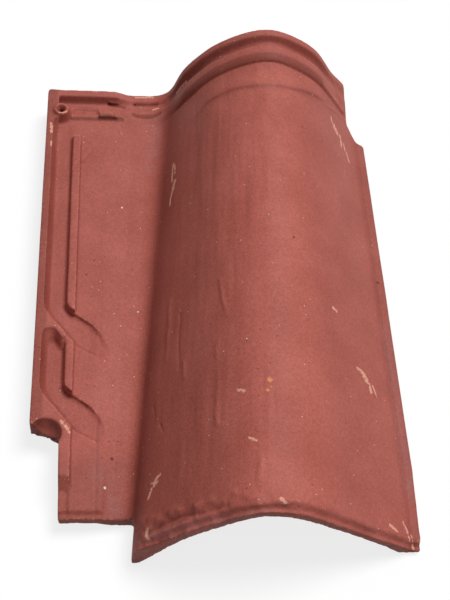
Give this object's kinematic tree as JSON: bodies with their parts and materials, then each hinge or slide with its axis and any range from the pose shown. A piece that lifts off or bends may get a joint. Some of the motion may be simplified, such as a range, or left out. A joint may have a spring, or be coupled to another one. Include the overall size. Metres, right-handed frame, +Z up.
{
  "type": "clay roof tile",
  "caption": "Interlocking clay roof tile with a flat pan, a tall barrel roll, a side lock that drains into the trough, and a nail hole.",
  "frame": {"origin": "centre of the tile's box, on the floor that it lies on", "axes": "+Y from the nose to the head, +X from the side lock to the covering flange, +Z up"},
  "size_m": [0.2804, 0.427, 0.0968],
  "materials": {
    "fired_clay": "matt pressed and fired red clay"
  },
  "bodies": {
    "root": {"roof_tile": "fired_clay"}
  },
  "joints": []
}
